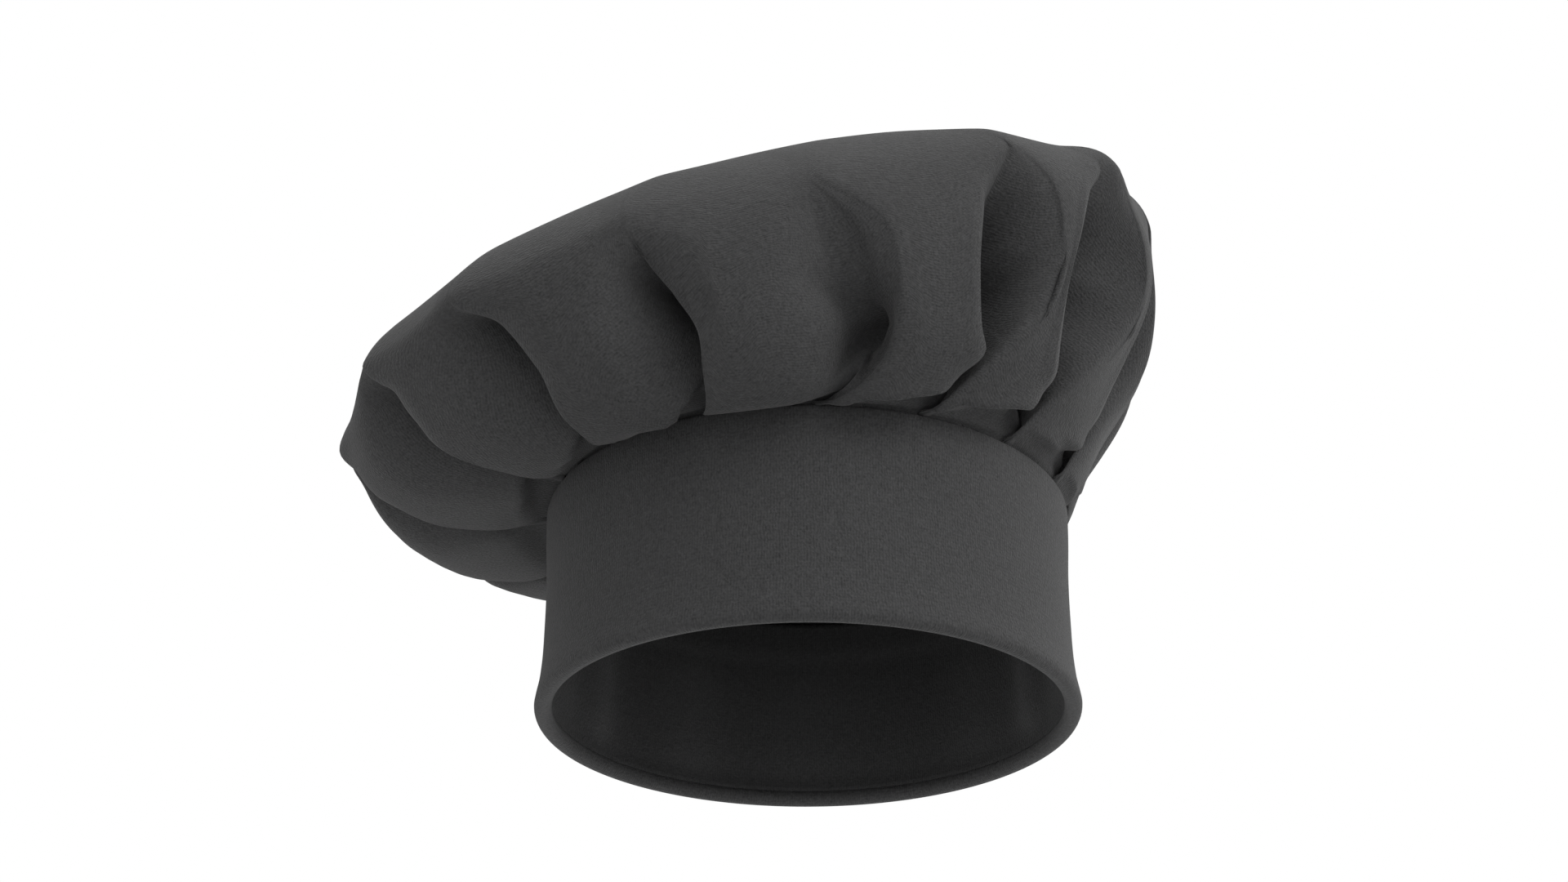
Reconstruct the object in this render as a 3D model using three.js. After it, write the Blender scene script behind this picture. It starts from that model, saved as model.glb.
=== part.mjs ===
// Chef toque: a stiffened cloth band that goes round the head, and a full crown of cloth
// that is pleated into the top of the band and flops to one side.
//
// Frame: millimetres, +Z up along the band's axis, origin at the centre of the head opening
// in the plane of the rim. The front of the hat faces -Y and the crown flops towards -X.
// Azimuths are measured about +Z from the front (-Y) towards +X.

import * as THREE from 'three';
import { mergeVertices } from 'three/addons/utils/BufferGeometryUtils.js';

// ---- driving dimensions, mm and degrees ----

const RIM_RING_RADIUS = 96;        // centre line of the rolled hem
const HEM_ROLL_RADIUS = 3.2;       // the hem is the cloth's edge rolled on itself
const HEM_FOOT_WIDTH = 2.8;        // flat that the roll stands on
const BAND_HEIGHT = 79;
const BAND_TOP_RADIUS = 98.3;      // outside, where the crown seam thickens the wall
const BAND_WAIST_RADIUS = 96.9;    // outside, half way up

const CLOTH = 1.0;                 // band cloth and lining
const CROWN_CLOTH = 1.6;           // crown, with its folds
const INTERLINING = 0.8;
const ELASTIC = 0.8;
const LAYER_GAP = 0.3;
const THREAD_RADIUS = 0.25;
const HEM_THREAD_HEIGHT = 8.6;
const CROWN_THREAD_DEPTH = 4;      // below the band's top

const ELASTIC_ARC = 120;           // across the back of the band
const ELASTIC_LOW = 20;
const ELASTIC_HIGH = 52;
const ELASTIC_END_GAP = 7.5;       // degrees between its ends and the interlining's

const SEAM_DEPTH = 12;             // how far the crown's pleated edge goes down into the band
const SEAM_ALLOWANCE = 1.6;        // the pleats pressed flat
const SEAM_PROUD = 1.5;            // pleated edge standing above the band

const LINING_LOW = 7.2;            // it starts just above the hem roll
const LINING_STEP = 8;             // height over which it steps in to clear the pleated edge
const LINING_FLARE_LIMIT = 97.6;   // it doesn't follow the outer cloth's flare beyond this
const INTERLINING_LOW = 11;

const PLEATS = 16;
const PLEAT_DEPTH = 5;
const PLEAT_PROFILE = [0, 0.1, 0.35, 1];   // share of the depth, from a fold to the next
const PLEAT_START = [0.05, 0.3];   // where it deepens, as a share of the way to the pole
const PLEAT_END = [0.45, 0.78];    // and where it fades out
const CROWN_NECK_RADIUS = 104;     // clears the band when the crown turns on its seam
const CROWN_NECK_HEIGHT = 80.5;
const CROWN_TOP_HEIGHT = 204;

const RING_SEGMENTS = 48;
const CROWN_ROWS = 14;

// Outer form of the crown. Each outline runs from the seam, out under the lobe, up the
// wall and over the shoulder, as [radius, height] pairs. The crown droops on the -X side.
const CROWN_FORM = [
  { azimuth: 0, outline: [[114, 74], [134, 88], [142, 118], [133, 151], [105, 182], [62, 198]] },
  { azimuth: 45, outline: [[108, 86], [126, 104], [141, 136], [143, 169], [122, 193], [66, 204]] },
  { azimuth: 90, outline: [[104, 92], [113, 113], [132, 146], [134, 177], [125, 206], [74, 212]] },
  { azimuth: 135, outline: [[104, 88], [118, 104], [134, 130], [139, 162], [118, 192], [66, 206]] },
  { azimuth: 180, outline: [[112, 82], [128, 92], [138, 112], [136, 139], [114, 168], [70, 188]] },
  { azimuth: 225, outline: [[116, 80], [136, 87], [152, 99], [154, 119], [135, 145], [82, 174]] },
  { azimuth: 270, outline: [[120, 76], [149, 80], [167, 95], [171, 115], [155, 137], [95, 165]] },
  { azimuth: 315, outline: [[118, 70], [142, 80], [157, 98], [162, 115], [140, 147], [84, 176]] },
];

// ---- colours ----

function clothMaterial(colour) {
  return new THREE.MeshStandardMaterial({ color: colour, roughness: 0.95, metalness: 0 });
}

const CHARCOAL = 0x3b3b3b;
const LINING_CHARCOAL = 0x303030;
const INTERLINING_GREY = 0xb9b7b0;
const ELASTIC_BLACK = 0x1c1c1c;
const THREAD_CHARCOAL = 0x353535;

// ---- shared geometry ----

// Outside radius of the band at a height: waisted, and flared just above the hem.
const bandOutline = new THREE.CatmullRomCurve3([
  new THREE.Vector3(RIM_RING_RADIUS + HEM_ROLL_RADIUS, HEM_ROLL_RADIUS, 0),
  new THREE.Vector3(98.3, 9, 0),
  new THREE.Vector3(97.3, 17, 0),
  new THREE.Vector3(BAND_WAIST_RADIUS, 34, 0),
  new THREE.Vector3(97.1, 52, 0),
  new THREE.Vector3(98.0, 68, 0),
  new THREE.Vector3(BAND_TOP_RADIUS, BAND_HEIGHT - 1.5, 0),
], false, 'catmullrom', 0.5);

function bandRadius(height) {
  const points = bandOutline.getPoints(120);
  const above = points.findIndex((point) => point.y >= height);
  if (above <= 0) return points[above === 0 ? 0 : points.length - 1].x;
  const low = points[above - 1];
  const high = points[above];
  return THREE.MathUtils.mapLinear(height, low.y, high.y, low.x, high.x);
}

// A layer of the wall, as a closed outline: `depth` is how far its outer face lies inside
// the band's outside.
function wallLayer(depth, thickness, heights) {
  const outer = heights.map((z) => new THREE.Vector2(bandRadius(z) - depth, z));
  const inner = heights.map((z) => new THREE.Vector2(bandRadius(z) - depth - thickness, z));
  return [...outer, ...inner.reverse()];
}

// The layers share these heights, so that their facets lie parallel.
const LAYER_HEIGHTS = [9, 14, 24, 38, 52, 67, 77.5];

function heightsBetween(low, high) {
  return [low, ...LAYER_HEIGHTS.filter((z) => z > low && z < high), high];
}

function weld(geometry) {
  geometry.deleteAttribute('normal');
  geometry.deleteAttribute('uv');
  const welded = mergeVertices(geometry, 1e-4);
  welded.computeVertexNormals();
  return welded;
}

// A full ring: a closed outline turned about +Z, listed anticlockwise as seen with the
// radius to the right and +Z up.
function fullRing(outline) {
  const closed = [...outline, outline[0]];
  const geometry = new THREE.LatheGeometry(closed, RING_SEGMENTS);
  geometry.rotateX(Math.PI / 2);
  return weld(geometry);
}

// Part of a ring, with capped ends, from one azimuth to another.
function partRing(outline, fromAzimuth, toAzimuth) {
  const steps = Math.round(RING_SEGMENTS * (toAzimuth - fromAzimuth) / 360);
  const count = outline.length;
  const positions = [];
  for (let i = 0; i <= steps; i += 1) {
    const azimuth = THREE.MathUtils.degToRad(THREE.MathUtils.lerp(fromAzimuth, toAzimuth, i / steps));
    for (const point of outline) {
      positions.push(point.x * Math.sin(azimuth), -point.x * Math.cos(azimuth), point.y);
    }
  }
  const indices = [];
  for (let i = 0; i < steps; i += 1) {
    for (let j = 0; j < count; j += 1) {
      const a = i * count + j;
      const b = i * count + (j + 1) % count;
      indices.push(a, a + count, b, b, a + count, b + count);
    }
  }
  const lastRow = steps * count;
  for (const [a, b, c] of THREE.ShapeUtils.triangulateShape(outline, [])) {
    indices.push(a, b, c, lastRow + a, lastRow + c, lastRow + b);
  }
  const geometry = new THREE.BufferGeometry();
  geometry.setAttribute('position', new THREE.Float32BufferAttribute(positions, 3));
  geometry.setIndex(indices);
  geometry.computeVertexNormals();
  return geometry;
}

// ---- band ----

// Outer cloth: down the outside, round the rolled hem, and up the inside of the cloth.
function bandOuter() {
  const rollTop = Math.asin(0.85);
  const foot = HEM_FOOT_WIDTH / 2;
  const footAngle = Math.acos(foot / HEM_ROLL_RADIUS);
  const rollPoint = (angle) => new THREE.Vector2(
    RIM_RING_RADIUS + HEM_ROLL_RADIUS * Math.cos(angle),
    HEM_ROLL_RADIUS + HEM_ROLL_RADIUS * Math.sin(angle),
  );
  const inside = heightsBetween(9, BAND_HEIGHT - 0.6)
    .map((z) => new THREE.Vector2(bandRadius(z) - CLOTH, z));
  const outside = heightsBetween(HEM_ROLL_RADIUS, BAND_HEIGHT - 1.5)
    .map((z) => new THREE.Vector2(bandRadius(z), z));
  const innerRoll = [rollTop, 0.45, 0, -0.45]
    .map((angle) => rollPoint(Math.PI - angle));
  const outline = [
    new THREE.Vector2(RIM_RING_RADIUS - foot, 0),
    new THREE.Vector2(RIM_RING_RADIUS + foot, 0),
    rollPoint(-footAngle * 0.55),
    ...outside,
    new THREE.Vector2(BAND_TOP_RADIUS - 0.35, BAND_HEIGHT - 0.3),
    ...inside.reverse(),
    ...innerRoll,
  ];
  return new THREE.Mesh(fullRing(outline), clothMaterial(CHARCOAL));
}

// Lining: the inner wall, from just above the hem roll to the top.
function bandLining() {
  const depth = CLOTH + INTERLINING + 2 * LAYER_GAP;
  const top = BAND_HEIGHT - 1;
  const seamStart = BAND_HEIGHT - SEAM_DEPTH - 1;
  const stepStart = seamStart - LINING_STEP;
  const extra = SEAM_ALLOWANCE + 2 * THREAD_RADIUS + LAYER_GAP - INTERLINING;
  const radiusAt = (z) => Math.min(bandRadius(z), LINING_FLARE_LIMIT) - depth - extra
    * THREE.MathUtils.smoothstep(z, stepStart, seamStart);
  const heights = [
    ...heightsBetween(LINING_LOW, stepStart), (stepStart + seamStart) / 2, seamStart, top,
  ];
  const outer = heights.map((z) => new THREE.Vector2(radiusAt(z), z));
  const inner = heights.map((z) => new THREE.Vector2(radiusAt(z) - CLOTH, z));
  return new THREE.Mesh(fullRing([...outer.reverse(), ...inner].reverse()), clothMaterial(LINING_CHARCOAL));
}

// Interlining: the stiff sheet between the two cloths, open at the back for the elastic.
function bandInterlining() {
  const halfArc = 180 - ELASTIC_ARC / 2 - ELASTIC_END_GAP;
  const heights = heightsBetween(INTERLINING_LOW, BAND_HEIGHT - SEAM_DEPTH - 2.5);
  const outline = wallLayer(CLOTH + LAYER_GAP, INTERLINING, heights);
  return new THREE.Mesh(partRing(outline, -halfArc, halfArc), clothMaterial(INTERLINING_GREY));
}

// Elastic tape across the back, between the interlining's ends.
function backElastic() {
  const heights = heightsBetween(ELASTIC_LOW, ELASTIC_HIGH);
  const outline = wallLayer(CLOTH + LAYER_GAP, ELASTIC, heights);
  const halfArc = ELASTIC_ARC / 2;
  return new THREE.Mesh(partRing(outline, 180 - halfArc, 180 + halfArc), clothMaterial(ELASTIC_BLACK));
}

// A seam's thread, as one ring of round section.
function seamThread(ringRadius, height) {
  const geometry = new THREE.TorusGeometry(ringRadius, THREAD_RADIUS, 6, RING_SEGMENTS);
  geometry.translate(0, 0, height);
  return new THREE.Mesh(weld(geometry), clothMaterial(THREAD_CHARCOAL));
}

// ---- crown ----

// The crown's pleated edge, pressed flat and held between the band's two cloths.
function crownSeamAllowance() {
  const outerRadius = bandRadius(BAND_HEIGHT) - CLOTH - 2 * THREAD_RADIUS - 2 * LAYER_GAP;
  const low = BAND_HEIGHT - SEAM_DEPTH;
  const high = BAND_HEIGHT + SEAM_PROUD;
  const outline = [
    new THREE.Vector2(outerRadius - SEAM_ALLOWANCE, low),
    new THREE.Vector2(outerRadius - 0.2, low),
    new THREE.Vector2(outerRadius, BAND_HEIGHT - 2),
    new THREE.Vector2(outerRadius, high),
    new THREE.Vector2(outerRadius - SEAM_ALLOWANCE, high),
  ];
  return new THREE.Mesh(fullRing(outline), clothMaterial(CHARCOAL));
}

// Curves round the crown, one through each place of the outlines.
const crownRings = CROWN_FORM[0].outline.map((_, place) => new THREE.CatmullRomCurve3(
  CROWN_FORM.map(({ outline }) => new THREE.Vector3(outline[place][0], outline[place][1], 0)),
  true, 'catmullrom', 0.5,
));

// Radius and height of the crown's outer form, from the neck (0) to the pole (1).
function crownOutline(turn) {
  return new THREE.CatmullRomCurve3([
    new THREE.Vector3(CROWN_NECK_RADIUS, CROWN_NECK_HEIGHT, 0),
    ...crownRings.map((ring) => ring.getPoint(turn)),
    new THREE.Vector3(0, CROWN_TOP_HEIGHT, 0),
  ], false, 'catmullrom', 0.5);
}

// Depth of a pleat: each panel starts proud at its fold and sinks towards the next fold.
function pleatDepth(sample, along) {
  const across = PLEAT_PROFILE[sample % PLEAT_PROFILE.length];
  const rise = THREE.MathUtils.smoothstep(along, ...PLEAT_START);
  const fade = 1 - THREE.MathUtils.smoothstep(along, ...PLEAT_END);
  return PLEAT_DEPTH * across * rise * fade;
}

// The pouf: a thin shell, closed over the top and open at the neck.
function crownPouf() {
  const around = PLEATS * PLEAT_PROFILE.length;
  const outer = [];
  for (let row = 0; row < CROWN_ROWS; row += 1) {
    for (let i = 0; i < around; i += 1) {
      const turn = i / around;
      const along = row / CROWN_ROWS;
      const point = crownOutline(turn).getPoint(along);
      const radius = point.x - pleatDepth(i, along);
      const azimuth = turn * 2 * Math.PI;
      outer.push(new THREE.Vector3(radius * Math.sin(azimuth), -radius * Math.cos(azimuth), point.y));
    }
  }
  outer.push(new THREE.Vector3(0, 0, CROWN_TOP_HEIGHT));
  const pole = CROWN_ROWS * around;
  const lastRow = pole - around;
  const skin = [];
  for (let row = 0; row < CROWN_ROWS - 1; row += 1) {
    for (let i = 0; i < around; i += 1) {
      const next = (i + 1) % around;
      const [a, b] = [row * around + i, row * around + next];
      const [c, d] = [a + around, b + around];
      skin.push([a, b, d], [a, d, c]);
    }
  }
  for (let i = 0; i < around; i += 1) {
    skin.push([lastRow + i, lastRow + (i + 1) % around, pole]);
  }
  return new THREE.Mesh(thickened(outer, skin, around, CROWN_CLOTH), clothMaterial(CHARCOAL));
}

// Gives a skin, open along its first row of points, a thickness to the inside.
function thickened(points, triangles, firstRow, thickness) {
  const skin = new THREE.BufferGeometry().setFromPoints(points);
  skin.setIndex(triangles.flat());
  skin.computeVertexNormals();
  const normals = skin.getAttribute('normal');
  const inner = points.map((point, i) => point.clone()
    .addScaledVector(new THREE.Vector3().fromBufferAttribute(normals, i), -thickness));
  const count = points.length;
  const inside = triangles.map(([a, b, c]) => [count + a, count + c, count + b]);
  const edge = [];
  for (let i = 0; i < firstRow; i += 1) {
    const next = (i + 1) % firstRow;
    edge.push([i, count + i, count + next], [i, count + next, next]);
  }
  const geometry = new THREE.BufferGeometry().setFromPoints([...points, ...inner]);
  geometry.setIndex([...triangles, ...inside, ...edge].flat());
  geometry.computeVertexNormals();
  return geometry;
}

// ---- assembly ----

function named(name, mesh) {
  mesh.name = name;
  return mesh;
}

const crownThreadRadius = BAND_TOP_RADIUS - CLOTH - LAYER_GAP - THREAD_RADIUS;
const hemThreadRadius = RIM_RING_RADIUS + 0.2;

const band = new THREE.Group();
band.add(
  named('band_outer', bandOuter()),
  named('band_lining', bandLining()),
  named('band_interlining', bandInterlining()),
  named('back_elastic', backElastic()),
  named('hem_thread', seamThread(hemThreadRadius, HEM_THREAD_HEIGHT)),
  named('crown_seam_allowance', crownSeamAllowance()),
  named('crown_seam_thread', seamThread(crownThreadRadius, BAND_HEIGHT - CROWN_THREAD_DEPTH)),
);

const crown = new THREE.Group();
crown.add(named('crown_pouf', crownPouf()));

const toque = new THREE.Group();
toque.add(band, crown);

export default toque;
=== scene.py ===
"""Chef toque in dark charcoal cloth: a stiff round band with a rolled hem, and a full crown pleated into it.

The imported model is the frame. Each cloth is made here as its own sheet, on numbers that follow the frame's
boxes. Azimuths are degrees from the front (-Y) towards +X; shapes are worked out in millimetres and made in
metres.
"""

import math
from types import SimpleNamespace

import bpy
import numpy as np
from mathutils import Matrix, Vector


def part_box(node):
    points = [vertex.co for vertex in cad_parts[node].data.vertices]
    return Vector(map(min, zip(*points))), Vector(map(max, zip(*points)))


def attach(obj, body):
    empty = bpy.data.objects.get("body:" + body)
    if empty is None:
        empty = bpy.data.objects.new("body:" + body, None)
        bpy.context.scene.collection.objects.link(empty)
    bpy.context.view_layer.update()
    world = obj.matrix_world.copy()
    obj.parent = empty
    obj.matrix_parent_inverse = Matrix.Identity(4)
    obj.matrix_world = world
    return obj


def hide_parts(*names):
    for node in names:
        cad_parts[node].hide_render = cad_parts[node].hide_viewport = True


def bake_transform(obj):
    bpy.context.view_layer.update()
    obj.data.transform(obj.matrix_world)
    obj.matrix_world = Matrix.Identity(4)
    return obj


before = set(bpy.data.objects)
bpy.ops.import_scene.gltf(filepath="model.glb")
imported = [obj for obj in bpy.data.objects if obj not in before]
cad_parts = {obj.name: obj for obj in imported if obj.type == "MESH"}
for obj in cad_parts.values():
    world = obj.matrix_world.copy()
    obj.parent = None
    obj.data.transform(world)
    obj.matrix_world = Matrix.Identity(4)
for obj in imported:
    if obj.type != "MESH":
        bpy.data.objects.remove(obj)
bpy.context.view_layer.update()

MM = 0.001

# ---- what the frame says ----

BAND_LOW, BAND_HIGH = (np.array(corner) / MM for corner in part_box("band_outer"))
TOP_EDGE_RISE = 0.3                         # the cloth's rounded top edge stands this much above the solid
BAND_HEIGHT = BAND_HIGH[2] + TOP_EDGE_RISE
RIM_RADIUS = (BAND_HIGH[0] - BAND_LOW[0]) / 2
HEM_ROLL = 3.2                              # radius of the rolled hem
RIM_RING = RIM_RADIUS - HEM_ROLL            # centre line of the roll

# ---- camera ----

LENS = 50.0
SENSOR_WIDTH = 36.0
CAMERA_PLACE = (-0.0087, -0.7494, -0.2733)
CAMERA_PITCH = 27.44                        # degrees above the horizon: it looks up into the hat


def add_object(name, data):
    thing = bpy.data.objects.new(name, data)
    bpy.context.scene.collection.objects.link(thing)
    return thing


def make_camera():
    camera = add_object("camera", bpy.data.cameras.new("camera"))
    camera.data.lens = LENS
    camera.data.sensor_width = SENSOR_WIDTH
    camera.location = CAMERA_PLACE
    camera.rotation_euler = (math.radians(90 + CAMERA_PITCH), 0, 0)
    bpy.context.scene.camera = camera


# ---- numbers that shape the cloth ----

# Thickness of each cloth.
BAND_CLOTH = 0.9
LINING_CLOTH = 0.8
CROWN_CLOTH = 0.8

# Outside of the band: (height, radius)
BAND_OUTLINE = [
    (HEM_ROLL, RIM_RADIUS), (6.0, 98.75), (10.0, 98.0), (17.0, 97.3), (34.0, 96.9), (52.0, 97.1),
    (68.0, 98.0), (BAND_HEIGHT - 1.5, 98.3),
]

# Outer form of the crown, close to the solid's: (radius, height) from the seam to the top, by azimuth.
CROWN_FORM = {
    0: [(114, 74), (134, 88), (142, 118), (133, 151), (105, 182), (62, 198)],
    45: [(108, 86), (126, 104), (141, 136), (143, 169), (122, 193), (66, 204)],
    90: [(103, 91), (113, 113), (132, 146), (134, 177), (125, 206), (74, 212)],
    135: [(104, 88), (118, 104), (134, 130), (139, 162), (118, 192), (66, 206)],
    180: [(112, 82), (128, 92), (138, 112), (136, 139), (114, 168), (70, 188)],
    225: [(116, 81), (136, 88), (153, 100), (155, 119), (135, 145), (82, 174)],
    270: [(120, 75), (151, 79), (168, 94), (171, 115), (155, 137), (95, 165)],
    315: [(118, 70), (142, 80), (157, 98), (162, 115), (140, 147), (84, 176)],
}
CROWN_SEAM = (96.4, 80.0)                   # where the pleated edge comes out of the band
CROWN_TOP = 204.0

PLEATS = 16
PITCH = 360 / PLEATS
# Stations along the form, 0 at the seam and 1 at the top. The tables below give a value at each station.
STATIONS = [0.00, 0.08, 0.15, 0.22, 0.30, 0.38, 0.46, 0.53, 0.60]
# By fold, from the front towards +X: how far its edge lies to the side of its place in the seam (degrees).
FOLD_LEAN = [
    [0, 4.2, 8.4, 11.8, 12.6, 11.9, 9.0, 1.0, 0],
    [0, 1.5, 3.8, 7.0, 11.2, 14.8, 15.2, 13.2, 8.2],
    [0, 0.8, 2.2, 4.6, 9.2, 15.8, 18.0, 14.0, 6.0],
    [0, 1.0, 2.8, 6.5, 11.5, 15.0, 13.0, 8.0, 3.0],
    [0, 1.5, 3.5, 6.5, 9.0, 9.5, 6.5, 3.0, 1.0],
    [0, 2.0, 4.5, 7.0, 8.5, 7.5, 4.5, 1.5, 0],
    [0, 2.5, 5.0, 7.0, 8.0, 7.0, 4.0, 1.5, 0.5],
    [0, 2.2, 5.0, 7.2, 8.5, 7.5, 4.5, 1.5, 0],
    [0, 2.2, 4.5, 6.5, 7.5, 6.2, 3.5, 1.0, 0],
    [0, 2.0, 4.0, 5.6, 6.5, 5.0, 2.5, 1.0, 0.5],
    [0, 1.6, 3.2, 4.2, 4.5, 3.2, 1.2, 0, -0.5],
    [0, -0.5, -1.5, -2.5, -3.5, -4.0, -4.0, -3.5, -3.0],
    [1.5, 3.0, 3.5, 4.0, 4.4, 2.6, 1.6, 2.0, 1.6],
    [0, 6.0, 8.0, 6.3, 4.2, 3.5, 2.8, 1.0, -1.5],
    [0, 2.5, 4.8, 5.0, 4.8, 3.6, 1.4, -1.5, -3.8],
    [0, 2.8, 5.2, 6.5, 6.8, 4.0, 1.2, -1.0, -2.6],
]
# How far beyond its place in the seam the panel before a fold turns in, and how much further the valley's
# floor lies (degrees); by fold where it differs.
TURN_IN = [6.0, 8.0, 9.0, 7.5, 5.5, 3.4, 1.5, 0.3, 0.0]
TURN_IN_AT = {
    1: [6.0, 8.0, 9.5, 8.8, 4.8, 3.0, 3.0, 4.2, 8.0],
    2: [6.0, 8.0, 7.5, 3.5, -1.5, -4.0, -3.0, -1.0, 3.0],
    3: [6.0, 8.0, 7.5, 4.5, 1.0, -0.5, 0.0, 1.0, 2.5],
}
FLOOR_BEYOND = [5.0, 4.5, 4.2, 4.5, 4.1, 3.0, 2.0, 0.9, 0.0]
# How far behind the fold's edge a face that slopes in ends (degrees).
END_BEYOND = [4.0, 4.0, 4.0, 3.8, 3.6, 3.0, 0.6, -1.0, -1.0]
END_BEYOND_AT = {0: [4.0, 4.5, 5.5, 6.0, 3.5, -6.0, -7.0, -1.5, -0.5]}
# How deep the valley before a fold is (mm).
DEPTH = [2.2, 8.0, 17.0, 25.0, 31.0, 31.0, 23.0, 8.0, 0.0]
DEPTH_AT = {
    0: [2.2, 11.0, 24.0, 28.0, 25.0, 18.0, 11.0, 5.0, 0.0],
    2: [2.2, 6.5, 14.0, 23.0, 31.0, 31.0, 23.0, 8.0, 0.0],
    3: [2.2, 3.5, 7.0, 17.0, 31.0, 31.0, 23.0, 8.0, 0.0],
}
# By fold: how much deeper than usual the valley before it is.
DEEPER = [1.0, 1.15, 1.8, 1.3, 1.1, 1, 1, 1, 1, 1, 1.1, 1.15, 1.2, 1.2, 1.15, 1.4]
# By fold: whether the panel before it turns in sharply (0) or slopes in (1), and how far before the fold's
# place in the seam the slope starts (degrees).
SLOPE = [1.0, 0.0, 0.0, 0.0, 0.1, 0.2, 0.3, 0.4, 0.5, 0.6, 0.8, 0.9, 1.0, 1.0, 1.0, 1.0]
SLOPE_START = [6, 2, 2, 2, 3, 4, 5, 5, 5, 5, 6, 7, 7, 7, 7, 6]
# By fold: how much more of the way down the slope is before it goes under the fold.
STEEPER = [0.28, 0, 0, 0, 0, 0, 0, 0, 0, 0, 0, 0, 0, 0, 0, 0]
# By fold: how far its edge rolls in (mm) over a strip (degrees), and between which heights.
ROLL = [2, 1.2, 1.2, 2, 3, 3, 3, 3, 3, 3, 3, 3, 3, 4, 5, 7]
STRIP = [1.8, 1.8, 1.8, 1.8, 1.8, 1.8, 1.8, 1.8, 1.8, 1.8, 1.8, 1.8, 1.5, 2.0, 2.5, 3.6]
ROLL_FROM = [0.05, 0.05, 0.05, 0.05, 0.06, 0.08, 0.1, 0.1, 0.1, 0.1, 0.12, 0.15, 0.2, 0.24, 0.2, 0.24]
ROLL_TO = [0.38, 0.46, 0.46, 0.5, 0.54, 0.54, 0.54, 0.54, 0.54, 0.54, 0.54, 0.54, 0.54, 0.54, 0.54, 0.56]
# By fold: how far up the form it ends in a pinch, and how far the pinch stands out (mm).
HEAD_PLACE = [0.52, 0.60, 0.62, 0.62, 0.62, 0.61, 0.61, 0.60, 0.60, 0.60, 0.58, 0.56, 0.53, 0.57, 0.57, 0.57]
HEAD = [2, 2, 6, 3, 2, 2, 2, 2, 2, 3, 3, 4, 7, 4, 3, 3]
HEAD_SIZE = (5.0, 0.05, 0.13)               # of a pinch: degrees round, and down and up the form
# By fold: how far up the form the valley before it closes.
VALLEY_END = [0.56, 0.64, 0.66, 0.67, 0.68, 0.68, 0.68, 0.67, 0.67, 0.66, 0.64, 0.61, 0.57, 0.60, 0.59, 0.55]

# By panel: how far up the form the bottom edge of its face climbs from the panel's fold to its far side, how
# late it climbs, and how far it stands out (mm).
BOTTOM_RISE = [0.15, 0.16, 0.17, 0.17, 0.16, 0.15, 0.14, 0.14, 0.14, 0.14, 0.13, 0.13, 0.10, 0.13, 0.15, 0.04]
BOTTOM_LATE = [0.2, 0.25, 0.6, 0.8, 1, 1, 1, 1, 1, 1, 1, 1, 1, 1.2, 1.8, 1]
BOTTOM_LOW = 0.02
BOTTOM_ROLL = [1.8, 1.8, 1.2, 0.4, 0.4, 0.4, 0.4, 0.4, 0.4, 0.4, 0.2, 0.1, 1.5, 1.8, 1.8, 1.8]
# How far the cloth under an edge that stands out by FULL_ROLL is drawn in, at the fold and at the far side.
UNDERSIDE = (3.0, 7.0)
FULL_ROLL = 1.8

# Where on the form each change in the pleats' shape begins and ends.
PRESSED = (0.0, 0.10)                       # from pressed flat over each other to open
LOW_END = 0.26                              # down from here, all panels come to slope in under the next fold
BROAD = (0.30, 0.44)                        # a sharp panel's valley turns from a pocket to a broad slope
VALLEY_RUN = 0.3                            # above this the valleys are stretched to close where they end
CLOSING = (0.36, 0.52)                      # a sloping panel's slope draws in towards its fold
FLATTENING = (0.46, 0.60)                   # the valleys run out
EVEN = (0.58, 0.80)                         # the cloth's columns spread evenly round

AROUND_PLEAT = 26
CROWN_ROWS = 100
LAST_ROW = 0.996                            # its place on the form; one more point closes the top
TUCK_ROWS = 5                               # rows of the pleated edge down inside the band
TUCK_DEPTH = 10.0


# ---- curves ----

def smooth(low, high, x):
    t = np.clip((x - low) / (high - low), 0, 1)
    return t * t * (3 - 2 * t)


def catmull(p0, p1, p2, p3, t):
    return p1 + 0.5 * t * ((p2 - p0) + t * ((2 * p0 - 5 * p1 + 4 * p2 - p3) + t * (3 * (p1 - p2) + p3 - p0)))


def hermite(p1, p2, m1, m2, t):
    """The cubic from p1 to p2 that leaves with slope m1 and arrives with slope m2."""
    rising, falling = t * t * (3 - 2 * t), (1 + 2 * t) * (1 - t) ** 2
    return falling * p1 + rising * p2 + t * (1 - t) ** 2 * m1 + t * t * (t - 1) * m2


def unfolded(p0, p1, p2, p3, t):
    """A smooth curve from p1 to p2 that never runs back where the points do not."""
    def slope(before, after):
        both = before * after
        return np.where(both > 0, 2 * both / np.where(both > 0, before + after, 1), (before + after) / 2)

    return hermite(p1, p2, slope(p1 - p0, p2 - p1), slope(p2 - p1, p3 - p2), t)


def through(stations, values, x):
    """A smooth curve through values (..., n) at the stations, level beyond the ends."""
    stations, values = np.array(stations, float), np.array(values, float)
    slope = np.gradient(values, stations, axis=-1)
    x = np.clip(x, stations[0], stations[-1])
    i = np.clip(np.searchsorted(stations, x, side="right") - 1, 0, len(stations) - 2)
    step = stations[i + 1] - stations[i]
    t = (x - stations[i]) / step
    if values.ndim == 1:
        y0, y1, m0, m1 = values[i], values[i + 1], slope[i], slope[i + 1]
    else:
        y0, y1, m0, m1 = (
            np.take_along_axis(table, j[..., None], -1)[..., 0]
            for table, j in ((values, i), (values, i + 1), (slope, i), (slope, i + 1))
        )
    return hermite(y0, y1, step * m0, step * m1, t)


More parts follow.
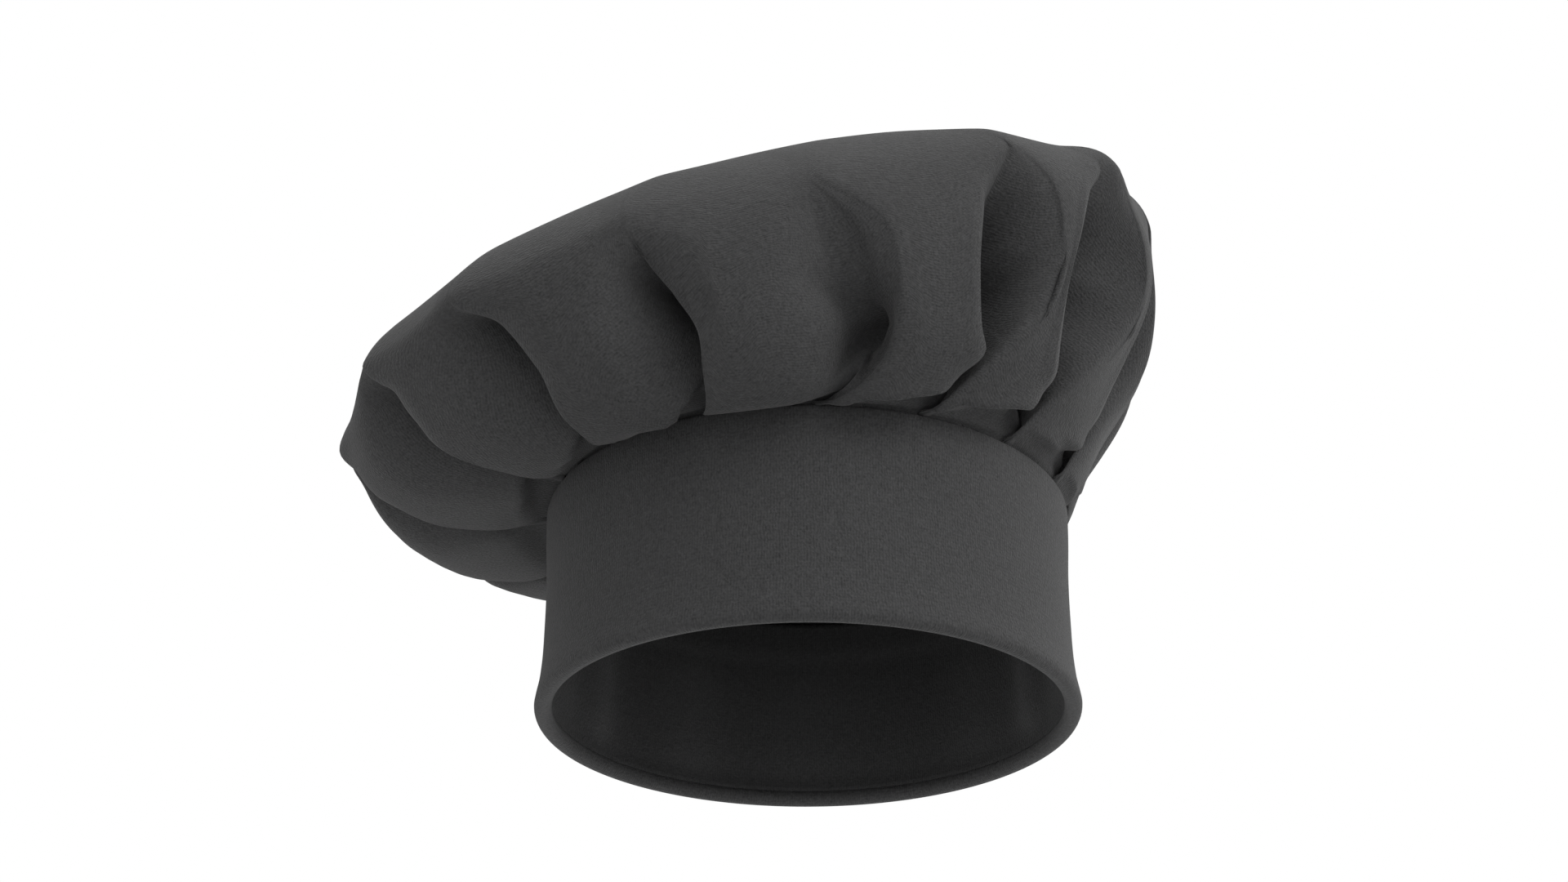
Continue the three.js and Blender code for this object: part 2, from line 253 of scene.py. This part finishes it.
def open_curve(points, beyond, s):
    """Catmull-Rom curve through points (..., n, 2) at s from 0 to 1, heading on to beyond (..., 2)."""
    n = points.shape[-2]
    x = s * (n - 1)
    i = np.clip(np.floor(x).astype(int), 0, n - 2)
    t = (x - i)[..., None]

    def take(j):
        index = np.clip(i + j, 0, n - 1)[..., None, None]
        return np.take_along_axis(points, np.broadcast_to(index, index.shape[:-1] + (2,)), -2)[..., 0, :]

    p1, p2 = take(0), take(1)
    p0 = np.where((i == 0)[..., None], 2 * p1 - p2, take(-1))
    p3 = np.where((i == n - 2)[..., None], beyond, take(2))
    return catmull(p0, p1, p2, p3, t)


def on_ring(radius, azimuth, height):
    a = np.radians(azimuth)
    return np.stack(np.broadcast_arrays(radius * np.sin(a), -radius * np.cos(a), height), -1)


# ---- meshes ----

def grid_mesh(name, rows, uv, pole=None):
    """A ring of cloth from a grid of points (around, along, 3), with a map of (around + 1, along, 2), which
    needn't close on itself. A pole closes the ring's far side, and is the map's origin."""
    around, along = rows.shape[:2]
    points = [tuple(p) for p in (rows.reshape(-1, 3) * MM)]
    faces, maps = [], []
    for i in range(around):
        n = (i + 1) % around
        for j in range(along - 1):
            faces.append((i * along + j, n * along + j, n * along + j + 1, i * along + j + 1))
            maps += [uv[i, j], uv[i + 1, j], uv[i + 1, j + 1], uv[i, j + 1]]
        if pole is not None:
            faces.append((i * along + along - 1, n * along + along - 1, len(points)))
            maps += [uv[i, -1], uv[i + 1, -1], np.zeros(2)]
    if pole is not None:
        points.append(tuple(np.array(pole) * MM))
    mesh = bpy.data.meshes.new(name)
    mesh.from_pydata(points, [], faces)
    layer = mesh.uv_layers.new(name="cloth")
    layer.data.foreach_set("uv", (np.array(maps) * MM).astype(np.float32).ravel())
    mesh.polygons.foreach_set("use_smooth", [True] * len(mesh.polygons))
    mesh.update()
    return add_object(name, mesh)


def thicken(piece, thickness, offset):
    """Gives a sheet its thickness. offset -1 puts it inside the surface, 1 outside."""
    solid = piece.modifiers.new("thickness", "SOLIDIFY")
    solid.thickness = thickness * MM
    solid.offset = offset
    solid.use_rim = True
    evaluated = piece.evaluated_get(bpy.context.evaluated_depsgraph_get())
    thick = bpy.data.meshes.new_from_object(evaluated)
    piece.modifiers.clear()
    thin = piece.data
    piece.data = thick
    bpy.data.meshes.remove(thin)


def vertex_places(piece):
    """The piece's points in millimetres."""
    places = np.empty(len(piece.data.vertices) * 3)
    piece.data.vertices.foreach_get("co", places)
    return places.reshape(-1, 3) / MM


# ---- crown ----

def form_outline(azimuth):
    """The crown form's (radius, height) points at an azimuth, between the given ones."""
    rings = np.array([CROWN_FORM[key] for key in sorted(CROWN_FORM)], float)
    turn = azimuth / (360 / len(rings))
    i = np.floor(turn).astype(int)
    t = (turn - i)[..., None, None]
    return catmull(*(rings[(i + j) % len(rings)] for j in (-1, 0, 1, 2)), t)


def crown_form(azimuth, s):
    """Point of the crown's outer form at an azimuth and at s, from the seam (0) to the top (1)."""
    azimuth, s = np.broadcast_arrays(np.asarray(azimuth, float), np.asarray(s, float))
    outline = form_outline(azimuth)
    opposite = form_outline(azimuth + 180)[..., -1, :] * (-1, 1)
    shape = outline.shape[:-2] + (1, 2)
    seam = np.broadcast_to(np.array(CROWN_SEAM), shape)
    top = np.broadcast_to(np.array([0.0, CROWN_TOP]), shape)
    place = open_curve(np.concatenate([seam, outline, top], -2), opposite, np.clip(s, 0, 1))
    return on_ring(place[..., 0], azimuth, place[..., 1])


def crown_outward(azimuth, s):
    """Direction out of the crown's outer form."""
    turn, step = 1.0, 0.01
    across = crown_form(azimuth + turn, s) - crown_form(azimuth - turn, s)
    up = crown_form(azimuth, np.minimum(s + step, 1)) - crown_form(azimuth, np.maximum(s - step, 0))
    out = np.cross(across, up)
    return out / np.maximum(np.linalg.norm(out, axis=-1, keepdims=True), 1e-9)


def by_fold(table, fold, s, special=None):
    """The value for each fold at each height, from one row for all folds or a row for each."""
    rows = np.array(table, float)
    rows = np.array(rows if rows.ndim == 2 else [rows] * PLEATS)
    for k, row in (special or {}).items():
        rows[k] = row
    fold, s = np.broadcast_arrays(fold, s)
    return through(STATIONS, rows[fold % PLEATS], s)


def fold_azimuth(fold, s):
    """Where each fold's edge lies; fold and s are broadcast together."""
    return PITCH * np.asarray(fold) + by_fold(FOLD_LEAN, fold, s)


def of_fold(values, fold):
    """The value for each fold (or panel), from a list by fold."""
    return np.array(values, float)[fold % PLEATS]


def rolled(values, fold, s):
    """A list's value for each fold, over the heights where the fold's edge rolls in."""
    begin, finish = of_fold(ROLL_FROM, fold), of_fold(ROLL_TO, fold)
    return of_fold(values, fold) * smooth(begin, begin + 0.12, s) * (1 - smooth(finish - 0.1, finish, s))


def lip(part, panel, s):
    """How far out the cloth stands at a part of the way across a panel: the face is full along its bottom
    edge, and the cloth under the edge is drawn in."""
    up = s - BOTTOM_LOW - of_fold(BOTTOM_RISE, panel) * part ** of_fold(BOTTOM_LATE, panel)
    drawn = UNDERSIDE[0] + (UNDERSIDE[1] - UNDERSIDE[0]) * part
    drawn = drawn * smooth(0, 0.05, s) * (1 - smooth(-0.035, -0.004, up)) * smooth(0, 0.14, part)
    return of_fold(BOTTOM_ROLL, panel) * (np.exp(-(up / 0.026) ** 2) - drawn / FULL_ROLL)


def panel_lines(panel, s):
    """What a panel's cross-section hangs on, by panel and height: azimuths and the strip in degrees, depth
    and rolls in mm."""
    after = panel + 1
    place = PITCH * after
    closes = of_fold(VALLEY_END, after) - VALLEY_RUN
    run = np.where(s < VALLEY_RUN, s, VALLEY_RUN + (s - VALLEY_RUN) * VALLEY_RUN / closes)
    turn_in = place + by_fold(TURN_IN, after, s, TURN_IN_AT)
    deeper = 1 + (of_fold(DEEPER, after) - 1) * smooth(0.08, 0.25, s)
    return SimpleNamespace(
        panel=panel, s=s, after=after,
        left=fold_azimuth(panel, s), right=fold_azimuth(after, s),
        place=place,                        # the next fold's, in the seam
        run=run,                            # heights as the valley has them
        turn_in=turn_in,
        floor=turn_in + by_fold(FLOOR_BEYOND, after, run),
        depth=by_fold(DEPTH, after, run, DEPTH_AT) * deeper,
        roll=rolled(ROLL, panel, s), next_roll=rolled(ROLL, after, s), strip=rolled(STRIP, panel, s),
    )


def sharp_section(p):
    """Nine points (azimuth, depth) across a panel with a sharp turn at its face's right edge, then up to the
    next fold: low down out of a deep pocket, higher up over a broad slope."""
    def out(part):
        return lip(part, p.panel, p.s)

    face, rise = p.turn_in - p.left, p.right - p.floor
    broad = smooth(*BROAD, p.s)
    before_fold = np.sign(rise) * np.minimum(abs(rise), 8) * 0.25
    return [
        (p.left, p.roll),
        (p.left + p.strip + 0.05 * face, -0.9 - 0.5 * out(0.03)),
        (p.left + 0.3 * face, -1.2 - out(0.3)),
        (p.left + 0.62 * face, -0.8 - out(0.62)),
        (p.turn_in - 0.04 * face, 0.03 * p.depth - 0.8 * out(0.96)),
        (p.turn_in + 0.45 * (p.floor - p.turn_in), 0.66 * p.depth),
        (p.floor, p.depth),
        (p.floor + (0.70 - 0.25 * broad) * rise, (0.85 - 0.38 * broad) * p.depth),
        (p.right - before_fold, (0.26 - 0.13 * broad) * p.depth + p.next_roll),
    ]


def sloping_section(p, low):
    """Nine points (azimuth, depth) across a panel that slopes in under the next fold, whose edge overhangs
    it. low is 1 near the seam, where every panel does so, and 0 above."""
    def out(part):
        return lip(part, p.panel, p.s)

    slope = of_fold(SLOPE, p.after)
    closing = smooth(*CLOSING, p.run)
    under = p.right + by_fold(END_BEYOND, p.after, p.s, END_BEYOND_AT)
    steep = 0.56 + of_fold(STEEPER, p.after) * smooth(0.08, 0.2, p.s) * (1 - smooth(0.34, 0.42, p.s))
    start = p.place + of_fold([row[-1] for row in FOLD_LEAN], p.after) * smooth(0.30, 0.55, p.run)
    start = start - of_fold(SLOPE_START, p.after) * (1 - closing) - 3 * closing
    low_start = (p.place - 2) * slope + (p.right - 4) * (1 - slope)
    start = start * (1 - low) + low_start * low
    face, width, back = start - p.left, under - start, p.right - under
    return [
        (p.left, p.roll),
        (p.left + p.strip + 0.05 * face, -0.8 - 0.5 * out(0.03)),
        (p.left + 0.5 * face, -1.4 - out(0.4)),
        (start, -0.4 - out(0.75)),
        (start + 0.33 * width, 0.20 * p.depth - 0.9 * out(0.9)),
        (start + 0.67 * width, steep * p.depth - 0.4 * out(1)),
        (under, 0.95 * p.depth),
        (under + 0.5 * back, (0.72 - 0.3 * low) * p.depth),
        (p.right - 0.35 * back, (0.34 - 0.2 * low) * p.depth + p.next_roll),
    ]


def pleat_sections(s):
    """The nine points across each panel at each height, (panel, height, point): their azimuths and depths."""
    panel = np.arange(PLEATS)[:, None]
    p = panel_lines(panel, s)
    low = 1 - smooth(0.17 - 0.05 * of_fold(SLOPE, p.after), LOW_END, s)
    sharp, sloping = sharp_section(p), sloping_section(p, low)
    slope = of_fold(SLOPE, p.after) * (1 - low) + low
    across = [a[0] * (1 - slope) + b[0] * slope for a, b in zip(sharp, sloping)]
    opened = [a[1] * (1 - slope) + b[1] * slope for a, b in zip(sharp, sloping)]

    pressed = 1 - smooth(*PRESSED, s)
    lap = [a[0] for a in sharp]
    shingled = [p.depth * (a - p.left) / (p.floor - p.left) for a in lap[:6]]
    shingled += [p.depth, 0.5 * p.depth, 0.1 * p.depth]
    across = [a * (1 - pressed) + b * pressed for a, b in zip(across, lap)]
    flat = 1 - smooth(*FLATTENING, p.run)
    depths = [a * (1 - pressed) * flat + b * pressed for a, b in zip(opened, shingled)]

    even = smooth(*EVEN, s)
    share = (p.right - p.left) / len(across)
    across = [a * (1 - even) + even * (p.left + share * i) for i, a in enumerate(across)]
    return [np.stack([a + 0 * p.depth for a in values], -1) for values in (across, depths)]


def crown_points():
    """The pleated crown as a grid (around, along, 3): smooth curves round the crown, through the points of
    the pleats' sections, each at its depth under the crown's form."""
    s = np.linspace(0, LAST_ROW, CROWN_ROWS)[None, :]
    across, depths = pleat_sections(s)

    def with_neighbours(values, turn):
        """Each panel's points with the one before them and the two after."""
        before, after = np.roll(values, 1, 0).copy(), np.roll(values, -1, 0).copy()
        before[0] -= turn
        after[-1] += turn
        return np.concatenate([before[..., -1:], values, after[..., :2]], -1)

    x = np.arange(AROUND_PLEAT) / AROUND_PLEAT * across.shape[-1]
    i = np.floor(x).astype(int)
    azimuth = unfolded(*(with_neighbours(across, 360)[..., i + j] for j in range(4)), x - i)
    depth = catmull(*(with_neighbours(depths, 0)[..., i + j] for j in range(4)), x - i)
    height = s[..., None] + 0 * azimuth
    depth = depth - heads(azimuth, height)
    points = crown_form(azimuth, height) - crown_outward(azimuth, height) * depth[..., None]
    points = points.transpose(0, 2, 1, 3).reshape(PLEATS * AROUND_PLEAT, CROWN_ROWS, 3)
    return tuck_in(points)


def heads(azimuth, s):
    """How far the cloth stands out where each fold ends in a pinch."""
    width, reach_down, reach_up = HEAD_SIZE
    out = 0 * azimuth
    for k in range(PLEATS):
        across = (azimuth - fold_azimuth(k, HEAD_PLACE[k]) + 180) % 360 - 180
        up = s - HEAD_PLACE[k]
        reach = np.where(up > 0, reach_up, reach_down)
        out = out + HEAD[k] * np.exp(-abs(across / width) ** 1.5 - (up / reach) ** 2)
    return out


def tuck_in(points):
    """Adds the rows of the pleated edge that go down inside the band."""
    edge = points[:, :1]
    down = np.linspace(1, 0, TUCK_ROWS, endpoint=False)[None, :, None]
    rows = edge - np.array([0, 0, 1.0]) * TUCK_DEPTH * down
    return np.concatenate([rows, points], 1)


def flat_map(points):
    """Where each point of the pleated grid lies on the flat circle: its turn from the cloth's widths along
    the row three tenths of the way up, its distance from the middle from the length of its column."""
    around, rows = points.shape[:2]
    widths = np.linalg.norm(np.roll(points, -1, 0) - points, axis=-1)
    turn = np.concatenate([[0], np.cumsum(widths[:, rows * 3 // 10])])
    turn = turn / turn[-1] * 2 * np.pi
    lengths = np.linalg.norm(np.diff(points, axis=1), axis=-1)
    reach = np.concatenate([np.zeros((around, 1)), np.cumsum(lengths[:, ::-1], 1)], 1)[:, ::-1]
    reach = np.concatenate([reach, reach[:1]], 0)
    return np.stack([reach * np.sin(turn)[:, None], -reach * np.cos(turn)[:, None]], -1)


def make_crown():
    points = crown_points()
    piece = grid_mesh("crown_cloth", points, flat_map(points), pole=(0, 0, CROWN_TOP))
    thicken(piece, CROWN_CLOTH, -1)
    piece.data.materials.append(cloth_material("crown cloth", ribs="V", tone=1.0))
    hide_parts("crown_pouf", "crown_seam_allowance")
    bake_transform(piece)
    spread_bend(piece)


def spread_bend(piece):
    """Reads the piece's points in millimetres; nothing is done with them."""
    x, y, z = vertex_places(piece).T


# ---- band ----

RING_STEPS = 240
TOP_FOLD = 1.2                              # radius of the cloth's fold over the band's top
TOP_FOLD_TURN = 165                         # how far round it the cloth goes (degrees)
TURNED_IN = (7.0, 4.0, 1.5)                 # how far down inside it the cloth goes on
ROLL_TURN = (-12, -225)                     # from the wall round the hem's roll and in (degrees)


def band_radius(height):
    heights, radii = zip(*BAND_OUTLINE)
    return through(heights, radii, height)


def ring_azimuths():
    return np.arange(RING_STEPS) * 360 / RING_STEPS


def turned(outline):
    """A cloth ring's points from an outline of (radius, height), and its map, round the ring and along it."""
    outline = np.array(outline, float)
    points = on_ring(outline[None, :, 0], ring_azimuths()[:, None], outline[None, :, 1])
    length = np.concatenate([[0], np.cumsum(np.linalg.norm(np.diff(outline, axis=0), axis=1))])
    girth = np.arange(RING_STEPS + 1) / RING_STEPS * 2 * np.pi * RIM_RING
    return points, np.stack(np.broadcast_arrays(girth[:, None], length[None, :]), -1)


def arc(centre, radius, turn, count):
    angles = np.radians(np.linspace(*turn, count))
    return [(centre[0] + radius * math.cos(a), centre[1] + radius * math.sin(a)) for a in angles]


def make_band():
    high = BAND_HEIGHT - TOP_FOLD
    top = arc((band_radius(high) - TOP_FOLD, high), TOP_FOLD, (TOP_FOLD_TURN, 0), 9)
    inside = [(top[0][0], high - down) for down in TURNED_IN]
    wall = [(band_radius(z), z) for z in np.linspace(high, HEM_ROLL, 46)[1:]]
    roll = arc((RIM_RING, HEM_ROLL), HEM_ROLL, ROLL_TURN, 24)
    outline = inside + top + wall + roll
    piece = grid_mesh("band_cloth", *turned(outline))
    thicken(piece, BAND_CLOTH, 1)
    piece.data.materials.append(cloth_material("band cloth", ribs="U", tone=1.0))
    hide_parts("band_outer")
    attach(piece, "band")


# ---- lining ----

LINING_LOW = 5.6
LINING_HIGH = BAND_HEIGHT - 1.4
LINING_ROWS = 40
LINING_INSIDE = 3.4                         # how far inside the band's outside it lies
STRAIGHT_ABOVE = 97.6                       # the lining doesn't follow the band's outside past this radius
SEAM_LOW = BAND_HEIGHT - 13                 # from here up the pleated edge of the crown pushes it in
SEAM_STEP = (1.0, 8)                        # how far in, over what height
HEM_STEP = (0.7, 5)                         # how far the hem pushes it in at the bottom, over what height
# Its shallow upright waves, where the elastic draws the back in: (azimuth, width, height of wave)
LINING_WAVES = [
    (113, 6, 2.4), (134, 8, 0.8), (180, 14, 0.9), (210, 9, 1.4), (240, 6, 2.2), (255, 9, 0.6), (98, 9, 0.6),
]
WAVE_FADE = 12                              # the waves fade out over this height at each end
HIGHLIGHT_FROM, HIGHLIGHT_TO = (4, 20), (45, 75)      # the heights over which the painted highlight on the waves' crests comes and goes
# The lining is the band's own cloth, darkened to this share as painted shade inside the band.
LINING_PAINTED_SHADE = 0.66


def lining_wave(azimuth):
    def bump(at, width, size):
        return size * np.exp(-(((azimuth - at + 180) % 360 - 180) / width) ** 2)

    return sum(bump(*wave) for wave in LINING_WAVES)


def lining_points():
    heights = np.linspace(LINING_LOW, LINING_HIGH, LINING_ROWS)
    seam_push, seam_reach = SEAM_STEP
    hem_push, hem_reach = HEM_STEP
    inner = np.minimum(band_radius(heights), STRAIGHT_ABOVE) - LINING_INSIDE
    inner = inner - seam_push * smooth(SEAM_LOW - seam_reach, SEAM_LOW, heights)
    inner = inner - hem_push * (1 - smooth(LINING_LOW, LINING_LOW + hem_reach, heights))
    points, uv = turned(np.stack([inner, heights], -1))
    fade = smooth(LINING_LOW, LINING_LOW + WAVE_FADE, heights)
    fade = fade * (1 - smooth(SEAM_LOW - WAVE_FADE, LINING_HIGH, heights))
    inward = on_ring(-1.0, ring_azimuths(), 0.0)[:, None, :]
    wave = lining_wave(ring_azimuths())[:, None] * fade[None, :]
    return (points + inward * wave[..., None])[::-1], uv


def paint_crest_highlight(piece):
    """Paints the waves' crests paler: a painted highlight where their folds would catch the light."""
    x, y, z = vertex_places(piece).T
    crest_highlight = lining_wave(np.degrees(np.arctan2(x, -y))) / max(size for _, _, size in LINING_WAVES)
    crest_highlight = crest_highlight * smooth(*HIGHLIGHT_FROM, z) * (1 - smooth(*HIGHLIGHT_TO, z))
    piece.data.attributes.new("crest_highlight", "FLOAT", "POINT").data.foreach_set("value", crest_highlight.astype(np.float32))


def make_lining():
    piece = grid_mesh("lining_cloth", *lining_points())
    thicken(piece, LINING_CLOTH, -1)
    # paints a highlight along the lining's wave crests
    paint_crest_highlight(piece)
    # the lining's colour is darkened as painted shade inside the band
    piece.data.materials.append(cloth_material("lining cloth", ribs="U", tone=LINING_PAINTED_SHADE))
    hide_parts("band_lining")
    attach(piece, "band")


# ---- materials ----

RIB_PITCH = 1.0                             # mm, between the cloth's fine ribs
LOOP_PITCH = 1.25                           # mm, between the loops along a rib
LOOP_SHIFT = 0.9                            # how far the ribs carry the loops with them
WANDER = 1.6                                # mm, how far a thread strays from its line
FIBRE_WIDTH, FIBRE_LENGTH = 0.6, 1.4        # mm, the run of the yarn
GRAIN = 0.85                                # mm, the specks of the yarn
# Scale of the other noises, per metre.
STRAY_SCALE, SLUB_SCALE, BLOTCH_SCALE = 160, 420, 24
# How much each part of the cloth adds to its weave, to its relief and to its shade.
WEAVE = {"rib": 0.24, "loop": 0.12}
RELIEF = {"fibre": 2.4, "grain": 2.2, "slub": 1.2}
# the lining's wave crests get a painted highlight, which makes them paler
SHADE = {"weave": 0.30, "fibre": 0.85, "grain": 0.85, "slub": 0.6, "blotch": 0.16, "painted_highlight": 0.55}
SHADE_MEAN = 0.97
CLOTH_GREY = (0.044, 0.044, 0.0447)
BLACK = (0, 0, 0, 1)
WHITE = (1, 1, 1, 1)

# Pieces hidden between the band's two cloths: material, colour, and scale of its weave
HIDDEN_LOOKS = {
    "band_interlining": ("interlining", (0.5, 0.49, 0.46), 900),
    "back_elastic": ("elastic", (0.014, 0.014, 0.014), 1200),
    "hem_thread": ("hem thread", (0.04, 0.04, 0.041), 2500),
    "crown_seam_thread": ("crown seam thread", (0.04, 0.04, 0.041), 2500),
}


def new_material(name, shader_type):
    """A material of one shader; also gives its node tree and the shader."""
    material = bpy.data.materials.new(name)
    material.use_nodes = True
    tree = material.node_tree
    tree.nodes.clear()
    out = tree.nodes.new("ShaderNodeOutputMaterial")
    shader = tree.nodes.new(shader_type)
    tree.links.new(shader.outputs["BSDF"], out.inputs["Surface"])
    return material, tree, shader


def math_node(tree, operation, a, b=None):
    node = tree.nodes.new("ShaderNodeMath")
    node.operation = operation
    for socket, value in zip(node.inputs, (a, b)):
        if value is None:
            continue
        if isinstance(value, (int, float)):
            socket.default_value = value
        else:
            tree.links.new(value, socket)
    return node.outputs[0]


def weighted_sum(tree, parts, weights, plus=None):
    """The sum of the named parts, each times its weight, and of plus."""
    total = plus
    for name, weight in weights.items():
        product = math_node(tree, "MULTIPLY", parts[name], weight)
        total = product if total is None else math_node(tree, "ADD", product, total)
    return total


def noise(tree, vector, scale, detail=2.0, roughness=0.5):
    node = tree.nodes.new("ShaderNodeTexNoise")
    node.inputs["Scale"].default_value = scale
    node.inputs["Detail"].default_value = detail
    node.inputs["Roughness"].default_value = roughness
    tree.links.new(vector, node.inputs["Vector"])
    return node.outputs["Fac"]


def level_noise(tree, *look):
    """Noise about zero."""
    return math_node(tree, "SUBTRACT", noise(tree, *look), 0.5)


def object_place(tree):
    return tree.nodes.new("ShaderNodeTexCoord").outputs["Object"]


def add_bump(tree, shader, relief, strength, distance):
    bump = tree.nodes.new("ShaderNodeBump")
    bump.inputs["Strength"].default_value = strength
    bump.inputs["Distance"].default_value = distance * MM
    tree.links.new(relief, bump.inputs["Height"])
    tree.links.new(bump.outputs["Normal"], shader.inputs["Normal"])


def cloth_parts(tree, ribs):
    """What the cloth is made of, and any painted highlight, as node outputs by name. ribs is the map's axis
    that the ribs lie across.
    """
    uv = tree.nodes.new("ShaderNodeUVMap")
    uv.uv_map = "cloth"
    split = tree.nodes.new("ShaderNodeSeparateXYZ")
    tree.links.new(uv.outputs["UV"], split.inputs["Vector"])
    across, along = (split.outputs[axis] for axis in ("XY" if ribs == "U" else "YX"))
    place = object_place(tree)

    # threads wander a little, so the ribs aren't ruled lines
    stray = {"stray": noise(tree, place, STRAY_SCALE)}
    strayed = weighted_sum(tree, stray, {"stray": WANDER * MM}, plus=across)
    rib = math_node(tree, "SINE", math_node(tree, "MULTIPLY", strayed, 2 * math.pi / (RIB_PITCH * MM)))
    loops = math_node(tree, "MULTIPLY", along, 2 * math.pi / (LOOP_PITCH * MM))
    loop = math_node(tree, "SINE", weighted_sum(tree, {"rib": rib}, {"rib": LOOP_SHIFT}, plus=loops))
    stretched = tree.nodes.new("ShaderNodeCombineXYZ")
    tree.links.new(math_node(tree, "MULTIPLY", across, 1 / (FIBRE_WIDTH * MM)), stretched.inputs["X"])
    tree.links.new(math_node(tree, "MULTIPLY", along, 1 / (FIBRE_LENGTH * MM)), stretched.inputs["Y"])
    # painted highlight along the lining's wave crests, from the mark made when the lining is built
    painted_highlight = tree.nodes.new("ShaderNodeAttribute")
    painted_highlight.attribute_name = "crest_highlight"
    return {
        "weave": weighted_sum(tree, {"rib": rib, "loop": loop}, WEAVE),
        "fibre": level_noise(tree, stretched.outputs[0], 1.0, 2, 0.55),
        "grain": level_noise(tree, place, 1 / (GRAIN * MM), 1, 0.5),
        "slub": level_noise(tree, place, SLUB_SCALE, 2, 0.6),
        "blotch": level_noise(tree, place, BLOTCH_SCALE),
        "painted_highlight": painted_highlight.outputs["Fac"],
    }


def cloth_material(name, ribs, tone):
    """Matt fine-ribbed cloth, with a painted highlight where a piece carries one; tone scales its colour, and
    a tone below 1 is painted shade.
    """
    material, tree, shader = new_material(name, "ShaderNodeBsdfPrincipled")
    parts = cloth_parts(tree, ribs)
    colour = tree.nodes.new("ShaderNodeMix")
    colour.data_type = "RGBA"
    colour.clamp_factor = False
    colour.inputs["A"].default_value = BLACK
    colour.inputs["B"].default_value = (*(c * tone for c in CLOTH_GREY), 1)
    tree.links.new(weighted_sum(tree, parts, SHADE, plus=SHADE_MEAN), colour.inputs["Factor"])
    tree.links.new(colour.outputs["Result"], shader.inputs["Base Color"])
    tree.links.new(weighted_sum(tree, parts, {"slub": 0.12}, plus=0.88), shader.inputs["Roughness"])
    shader.inputs["IOR"].default_value = 1.4
    shader.inputs["Sheen Weight"].default_value = 0.10
    shader.inputs["Sheen Roughness"].default_value = 0.45
    relief = weighted_sum(tree, parts, RELIEF, plus=parts["weave"])
    add_bump(tree, shader, relief, strength=0.55, distance=0.25)
    return material


def woven_material(name, colour, scale):
    """A hidden piece's cloth, tape or thread: colour broken by a fine weave, with a bump to match."""
    material, tree, shader = new_material(name, "ShaderNodeBsdfPrincipled")
    weave = noise(tree, object_place(tree), scale, 3, 0.6)
    ramp = tree.nodes.new("ShaderNodeValToRGB")
    for stop, tone in zip(ramp.color_ramp.elements, (0.6, 1.3)):
        stop.color = (*(min(c * tone, 1) for c in colour), 1)
    tree.links.new(weave, ramp.inputs["Fac"])
    tree.links.new(ramp.outputs["Color"], shader.inputs["Base Color"])
    roughness = weighted_sum(tree, {"weave": weave}, {"weave": 0.2}, plus=0.72)
    tree.links.new(roughness, shader.inputs["Roughness"])
    add_bump(tree, shader, weave, strength=0.5, distance=0.2)
    return material


def finish_hidden_nodes():
    for node, look in HIDDEN_LOOKS.items():
        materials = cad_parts[node].data.materials
        materials.clear()
        materials.append(woven_material(*look))


# ---- surroundings ----

FLOOR_HEIGHT = -0.45
FLOOR_REACH = 14.0
FLOOR_TONE = (0.80, 0.80, 0.80, 1)

KEY_PLACE = (1.4, -1.3, 1.2)
KEY_AIM = (0, 0, 0.1)
KEY_SIZE = 1.2
KEY_POWER = 13

BRIGHT_SIDE = (0.66, -0.25, 0.71)           # the way to the bright side of the studio
LIGHT_MEAN = 0.59
LIGHT_SWING = 0.54


def make_floor():
    mesh = bpy.data.meshes.new("floor")
    signs = ((-1, -1), (1, -1), (1, 1), (-1, 1))
    mesh.from_pydata([(x * FLOOR_REACH, y * FLOOR_REACH, FLOOR_HEIGHT) for x, y in signs], [], [(0, 1, 2, 3)])
    material, _, shader = new_material("pale floor", "ShaderNodeBsdfDiffuse")
    shader.inputs["Color"].default_value = FLOOR_TONE
    mesh.materials.append(material)
    add_object("floor", mesh)


def make_key_light():
    lamp = bpy.data.lights.new("key", "AREA")
    lamp.shape = "DISK"
    lamp.size = KEY_SIZE
    lamp.energy = KEY_POWER
    light = add_object("key", lamp)
    light.location = KEY_PLACE
    way = np.array(KEY_AIM) - np.array(KEY_PLACE)
    tilt = math.acos(-way[2] / np.linalg.norm(way))
    light.rotation_euler = (tilt, 0, math.atan2(way[1], way[0]) - math.pi / 2)


def make_studio():
    """A white backdrop all round, and light that comes mostly from above and from the right."""
    world = bpy.data.worlds.new("studio")
    bpy.context.scene.world = world
    world.use_nodes = True
    tree = world.node_tree
    tree.nodes.clear()
    out = tree.nodes.new("ShaderNodeOutputWorld")
    backdrop, lamp = (tree.nodes.new("ShaderNodeBackground") for _ in range(2))
    for node in (backdrop, lamp):
        node.inputs["Color"].default_value = WHITE
    side = tree.nodes.new("ShaderNodeVectorMath")
    side.operation = "DOT_PRODUCT"
    side.inputs[1].default_value = BRIGHT_SIDE
    tree.links.new(tree.nodes.new("ShaderNodeTexCoord").outputs["Generated"], side.inputs[0])
    strength = weighted_sum(tree, {"side": side.outputs["Value"]}, {"side": LIGHT_SWING}, plus=LIGHT_MEAN)
    tree.links.new(strength, lamp.inputs["Strength"])
    choose = tree.nodes.new("ShaderNodeMixShader")
    tree.links.new(tree.nodes.new("ShaderNodeLightPath").outputs["Is Camera Ray"], choose.inputs[0])
    tree.links.new(lamp.outputs[0], choose.inputs[1])
    tree.links.new(backdrop.outputs[0], choose.inputs[2])
    tree.links.new(choose.outputs[0], out.inputs["Surface"])
    view = bpy.context.scene.view_settings
    view.view_transform = "Standard"
    view.look = "None"


make_camera()
make_band()
make_lining()
make_crown()
finish_hidden_nodes()
make_floor()
make_key_light()
make_studio()
